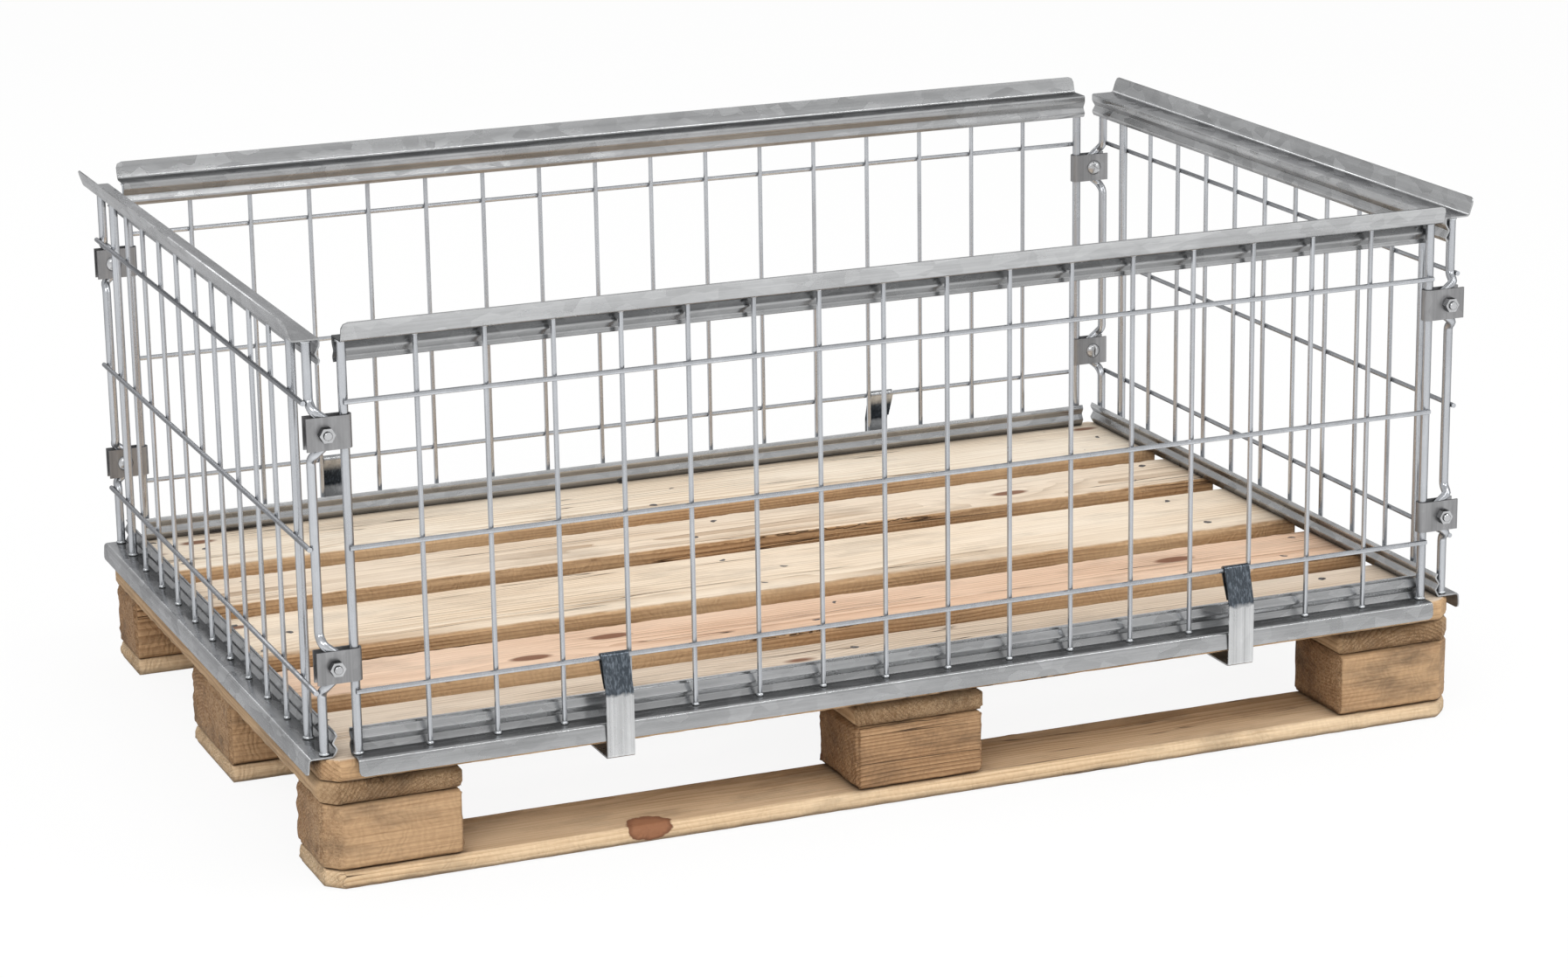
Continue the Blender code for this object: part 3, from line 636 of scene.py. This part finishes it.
# Painted shade: the zinc darkens where the piece closes in on itself, in hollows and folds.
closed_in = node(tree, "ShaderNodeAmbientOcclusion", {"Distance": HOLLOW_SHADE_REACH}, samples=AO_SAMPLES)
painted_hollow_shade = remap(tree, closed_in.outputs["AO"], 0.15, 0.65, 0.60, 0.0)
painted_hollow_shade = maths(tree, "MULTIPLY", painted_hollow_shade, given.outputs["Hollow Shade"])
facing = node(tree, "ShaderNodeNewGeometry").outputs["Normal"]
upward = node(tree, "ShaderNodeSeparateXYZ", {0: facing}).outputs["Z"]
# Painted light and shade: faces that turn down are painted lighter and faces that turn up darker.
painted_facing_light = remap(tree, upward, -0.30, 0.35, PAINTED_LIGHT_BELOW, PAINTED_SHADE_ABOVE)
bright = maths(tree, "MULTIPLY", maths(tree, "ADD", shade, 1.0), maths(tree, "SUBTRACT", 1.0, painted_hollow_shade))
bright = maths(tree, "MULTIPLY", bright, painted_facing_light)
# Painted highlight on the rib crests and painted shade in the valleys between them, from how sharply the
# sheet folds.
folding = node(tree, "ShaderNodeNewGeometry").outputs["Pointiness"]
ribs = given.outputs["Crests"]
crest_highlight = maths(tree, "MULTIPLY", remap(tree, folding, 0.56, 0.70, 0.0, CREST_HIGHLIGHT), ribs)
valley_shade = maths(tree, "MULTIPLY", remap(tree, folding, 0.44, 0.54, VALLEY_SHADE, RIB_SHADE), ribs)
painted_rib_light = maths(tree, "ADD", maths(tree, "SUBTRACT", 1.0, valley_shade), crest_highlight)
bright = maths(tree, "MULTIPLY", bright, painted_rib_light)
# Painted shade under the ribs, on their faces that turn down.
under_rib_shade = maths(tree, "MULTIPLY", remap(tree, upward, -0.55, 0.05, UNDER_RIB_SHADE, 0.0), ribs)
bright = maths(tree, "MULTIPLY", bright, maths(tree, "SUBTRACT", 1.0, under_rib_shade))
scaled = {0: given.outputs["Zinc"], "Scale": bright}
colour = node(tree, "ShaderNodeVectorMath", scaled, operation="SCALE").outputs[0]
rough = maths(tree, "ADD", given.outputs["Shine"], remap(tree, film, 0.35, 0.7, -0.04, 0.16))
rough = maths(tree, "ADD", rough, maths(tree, "MULTIPLY", flake, 0.5))
drawn = maths(tree, "MULTIPLY", draw, given.outputs["Draw Marks"])
tree.links.new(colour, result.inputs["Color"])
tree.links.new(rough, result.inputs["Roughness"])
tree.links.new(maths(tree, "ADD", drawn, maths(tree, "MULTIPLY", film, 0.5)), result.inputs["Height"])


DARK_EDGE = (0.08, 0.08, 0.085, 1.0)
PALE_EDGE = (0.50, 0.50, 0.51, 1.0)
ZINC_METALNESS = 0.85
ZINC_DEPTH = 0.0005


def zinc(
    name, colour, turn, spangle, draw_marks, shine, hollow_shade=1.0, relief=0.12, rim_shade=1.0, edge=DARK_EDGE,
):
    """A galvanised finish whose draw marks run along X before the turn.

    Round stock gets painted shade where its surface turns away from the view, down to the given
    rim share, and edge is the tint that the metal mirrors at a grazing angle.
    """
    made = bpy.data.materials.new(name)
    made.use_nodes = True
    tree = made.node_tree
    shader = tree.nodes["Principled BSDF"]
    place = node(tree, "ShaderNodeTexCoord").outputs["Object"]
    along = node(tree, "ShaderNodeMapping", {"Vector": place, "Rotation": turn}).outputs[0]
    surface = node(tree, "ShaderNodeGroup", node_tree=zinc_skin)
    tree.links.new(along, surface.inputs["Along"])
    surface.inputs["Zinc"].default_value = (*colour, 1.0)
    for label, value in (("Spangle", spangle), ("Draw Marks", draw_marks), ("Shine", shine),
                         ("Hollow Shade", hollow_shade), ("Crests", 0.0)):
        surface.inputs[label].default_value = value
    bump = {"Height": surface.outputs["Height"], "Strength": relief, "Distance": ZINC_DEPTH}
    # Painted shade on round stock, darker where its surface turns away from the view.
    turned_away = node(tree, "ShaderNodeLayerWeight", {"Blend": 0.5}).outputs["Facing"]
    shaded = remap(tree, turned_away, 0.15, 0.85, 1.0, rim_shade)
    rim_shaded_colour = {0: surface.outputs["Color"], "Scale": shaded}
    rim_shaded_colour = node(tree, "ShaderNodeVectorMath", rim_shaded_colour, operation="SCALE").outputs[0]
    tree.links.new(rim_shaded_colour, shader.inputs["Base Color"])
    tree.links.new(surface.outputs["Roughness"], shader.inputs["Roughness"])
    tree.links.new(node(tree, "ShaderNodeBump", bump).outputs[0], shader.inputs["Normal"])
    shader.inputs["Metallic"].default_value = ZINC_METALNESS
    shader.inputs["Specular Tint"].default_value = edge
    return made


ALONG_X = (0.0, 0.0, 0.0)
ALONG_Y = (0.0, 0.0, math.pi / 2)
ALONG_Z = (0.0, math.pi / 2, 0.0)
SMOOTH_ANGLE = math.radians(40.0)
MERGE_DISTANCE = 0.000005
WALLS = ("front", "back", "left", "right")


def dressed(cad_node, name, finish, body):
    """A merged, smoothly shaded copy of a CAD piece in its final finish."""
    bpy.ops.object.select_all(action="DESELECT")
    piece = bpy.data.objects.new(name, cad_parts[cad_node].data.copy())
    bpy.context.scene.collection.objects.link(piece)
    bpy.context.view_layer.objects.active = piece
    piece.select_set(True)
    bpy.ops.mesh.customdata_custom_splitnormals_clear()
    bpy.ops.object.mode_set(mode="EDIT")
    bpy.ops.mesh.select_all(action="SELECT")
    bpy.ops.mesh.remove_doubles(threshold=MERGE_DISTANCE)
    bpy.ops.object.mode_set(mode="OBJECT")
    bpy.ops.object.shade_smooth_by_angle(angle=SMOOTH_ANGLE)
    piece.data.materials.clear()
    piece.data.materials.append(finish)
    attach(piece, body)
    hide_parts(cad_node)
    piece.select_set(False)
    return piece


RAIL_ZINC = (0.385, 0.39, 0.395)
RIBBED_BAND_DEPTH = 0.0155
long_rail_zinc = zinc(
    "long_rail_zinc", RAIL_ZINC, ALONG_X, spangle=0.5, draw_marks=0.45, shine=0.18, relief=0.03,
)
short_rail_zinc = zinc(
    "short_rail_zinc", RAIL_ZINC, ALONG_Y, spangle=0.9, draw_marks=0.5, shine=0.20, relief=0.03,
    edge=PALE_EDGE,
)


def mark_ribs_for_painted_light(finish, axis, edge):
    """Marks the ribs, which lie inside the wires, for the painted highlight on their crests and the
    painted shade between and under them.
    """
    tree = finish.node_tree
    place = node(tree, "ShaderNodeTexCoord").outputs["Object"]
    across = node(tree, "ShaderNodeSeparateXYZ", {0: place}).outputs[axis]
    band = maths(tree, "LESS_THAN", maths(tree, "ABSOLUTE", across), edge - RIBBED_BAND_DEPTH)
    skin = next(part for part in tree.nodes if part.type == "GROUP")
    tree.links.new(band, skin.inputs["Crests"])


mark_ribs_for_painted_light(long_rail_zinc, "Y", pallet_corner.y)
mark_ribs_for_painted_light(short_rail_zinc, "X", pallet_corner.x)
for wall in WALLS:
    finish = long_rail_zinc if wall in ("front", "back") else short_rail_zinc
    for edge in ("bottom", "top"):
        dressed(f"{wall}_{edge}_rail", f"{wall}_{edge}_rolled_rail", finish, "collar")


# Wire panels
# Drawn wire spot-welded into a mesh and zinc plated with a cool cast. The thick bars at the
# ends are the same steel. Wires sink into each other where they cross.

WIRE_ZINC = (0.475, 0.490, 0.515)
# The wires are painted darker along their sides, where they turn away from the view.
wire_zinc = zinc(
    "drawn_wire_zinc", WIRE_ZINC, ALONG_Z, spangle=0.1, draw_marks=0.25, shine=0.19, relief=0.04,
    rim_shade=0.45, edge=PALE_EDGE,
)
for wall in WALLS:
    dressed(f"{wall}_wire_panel", f"{wall}_welded_mesh", wire_zinc, "collar")


# Weld beads
# Each upright is tacked to the flange below it and the ledge above it with a blob of weld,
# which has stayed brighter than the wire.

BEAD_ZINC = (0.58, 0.60, 0.62)
BEAD_PROUD = 0.0013
BEAD_HEIGHT = 0.0030
BEAD_LUMPS = 0.0009
LUMP_LEVEL = 0.7
BEAD_RAISED = 0.3
SAME_END = 0.012
SAME_LEVEL = 0.0004
bead_zinc = zinc(
    "weld_bead_zinc", BEAD_ZINC, ALONG_Z, spangle=0.0, draw_marks=0.0, shine=0.22, hollow_shade=0.6,
)
lumps = clouds("bead_lumps", 0.004)


def upright_ends(cad_node, level):
    """The middle and radius of each upright that ends at this level, read from the CAD panel."""
    ends = []
    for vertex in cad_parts[cad_node].data.vertices:
        if abs(vertex.co.z - level) > SAME_LEVEL:
            continue
        for end in ends:
            if (end[0] - vertex.co).length < SAME_END:
                end.append(vertex.co.copy())
                break
        else:
            ends.append([vertex.co.copy()])
    for end in ends:
        low = Vector(min(point[axis] for point in end) for axis in range(3))
        high = Vector(max(point[axis] for point in end) for axis in range(3))
        yield (low + high) / 2, max(high.x - low.x, high.y - low.y) / 2


def weld_beads(wall):
    """One lumpy bead at each end of the uprights of a wall, cut off level with their ends."""
    low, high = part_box(f"{wall}_wire_panel")
    beads = []
    for level, away in ((low.z, 1.0), (high.z, -1.0)):
        for middle, radius in upright_ends(f"{wall}_wire_panel", level):
            place = middle + Vector((0.0, 0.0, away * BEAD_RAISED * BEAD_HEIGHT))
            bpy.ops.mesh.primitive_ico_sphere_add(subdivisions=2, radius=1.0, location=place)
            bead = bpy.context.object
            bead.scale = (radius + BEAD_PROUD, radius + BEAD_PROUD, BEAD_HEIGHT)
            beads.append(bead)
    piece = joined(beads, f"{wall}_weld_beads")
    bpy.ops.object.mode_set(mode="EDIT")
    bpy.ops.mesh.select_mode(type="VERT")
    bpy.ops.mesh.select_all(action="DESELECT")
    shape = bmesh.from_edit_mesh(piece.data)
    for vertex in shape.verts:
        vertex.co.z = min(max(vertex.co.z, low.z), high.z)
    bmesh.update_edit_mesh(piece.data)
    bpy.ops.object.mode_set(mode="OBJECT")
    push = piece.modifiers.new("lumps", "DISPLACE")
    push.texture = lumps
    push.texture_coords = "LOCAL"
    push.mid_level = LUMP_LEVEL
    push.strength = BEAD_LUMPS
    bpy.ops.object.modifier_apply(modifier=push.name)
    bpy.ops.object.shade_smooth()
    piece.data.materials.append(bead_zinc)
    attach(piece, "collar")
    piece.select_set(False)


for wall in WALLS:
    weld_beads(wall)


# Hinge straps
# Strip folded round the end bar of a long wall, with the post of the short wall held beside
# the bolt. The zinc is duller than the wires and scuffed by the post.

STRAP_ZINC = (0.28, 0.28, 0.285)
BOLT_ZINC = (0.50, 0.505, 0.515)
SLOT_WIDTH = 0.0022
SLOT_DEPTH = 0.0018
SLOT_LENGTH = 0.022
strap_zinc = zinc("hinge_strap_zinc", STRAP_ZINC, ALONG_Z, spangle=0.4, draw_marks=0.6, shine=0.32)
# Bolts and nuts get the same painted shade where their surfaces turn away from the view.
bolt_zinc = zinc("bolt_zinc", BOLT_ZINC, ALONG_Z, spangle=0.2, draw_marks=0.2, shine=0.20, rim_shade=0.25)


def slot_the_head(bolt, cad_node, turn):
    """Mills a driver slot across the round head, which sits inside the collar."""
    low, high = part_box(cad_node)
    inner_face = high.y if high.y < 0.0 else low.y
    place = Vector(((low.x + high.x) / 2, inner_face, (low.z + high.z) / 2))
    size = (SLOT_LENGTH, 2 * SLOT_DEPTH, SLOT_WIDTH)
    bpy.ops.mesh.primitive_cube_add(size=1.0, location=place, scale=size)
    cutter = bpy.context.object
    cutter.rotation_euler.y = turn
    mill = bolt.modifiers.new("driver_slot", "BOOLEAN")
    mill.object = cutter
    mill.operation = "DIFFERENCE"
    bpy.ops.object.select_all(action="DESELECT")
    bpy.context.view_layer.objects.active = bolt
    bolt.select_set(True)
    bpy.ops.object.modifier_apply(modifier=mill.name)
    bpy.data.objects.remove(cutter)
    bolt.select_set(False)


for wall in ("front", "back"):
    for hand in ("left", "right"):
        for level in ("lower", "upper"):
            corner = f"{wall}_{hand}_{level}"
            dressed(f"{corner}_strap", f"{corner}_hinge_strap", strap_zinc, "collar")
            bolt = dressed(f"{corner}_bolt", f"{corner}_hinge_bolt", bolt_zinc, "collar")
            slot_the_head(bolt, f"{corner}_bolt", chance.uniform(0.0, math.pi))
            dressed(f"{corner}_nut", f"{corner}_hinge_nut", bolt_zinc, "collar")


# Spring clips
# Hardened strip bent into a loop over the lowest level wire, down past the lip and in under
# the deck. The outer side of the loop is blue-black, and the rest is bright.

CLIP_STEEL = (0.50, 0.505, 0.51)
BLUED_STEEL = (0.040, 0.052, 0.066, 1.0)
BLUED_STREAKS = (0.17, 0.20, 0.235, 1.0)
BLUED_ABOVE = 0.157
BLUED_FADE = 0.004
BLUED_FROM = 0.394
BLUED_RAGGED = 0.0015
OUTER_BLUE = 0.94
INNER_SHARE = 0.30
clip_steel = zinc("clip_steel", CLIP_STEEL, ALONG_Z, spangle=0.2, draw_marks=0.8, shine=0.23)
tree = clip_steel.node_tree
shader = tree.nodes["Principled BSDF"]
bright_steel = shader.inputs["Base Color"].links[0].from_socket
place = node(tree, "ShaderNodeTexCoord").outputs["Object"]
apart = node(tree, "ShaderNodeSeparateXYZ", {0: place})
ragged = remap(tree, noise(tree, place, 160.0), 0.3, 0.7, -BLUED_RAGGED, BLUED_RAGGED)
height = maths(tree, "ADD", apart.outputs["Z"], ragged)
blued = remap(tree, height, BLUED_ABOVE - BLUED_FADE, BLUED_ABOVE, 0.0, OUTER_BLUE)
outward = maths(tree, "ABSOLUTE", apart.outputs["Y"])
outward = remap(tree, outward, BLUED_FROM, BLUED_FROM + BLUED_FADE, INNER_SHARE, 1.0)
blued = maths(tree, "MULTIPLY", blued, outward)
streaks = noise(tree, stretched(tree, place, (620.0, 620.0, 9.0)), 1.0, 3.0, 0.6)
blue = mix_colours(tree, remap(tree, streaks, 0.48, 0.70, 0.0, 1.0), BLUED_STEEL, BLUED_STREAKS)
tree.links.new(mix_colours(tree, blued, bright_steel, blue), shader.inputs["Base Color"])
for side in ("front_left", "front_right", "back_left", "back_right"):
    dressed(f"{side}_clip", f"{side}_spring_clip", clip_steel, f"{side}_clip")
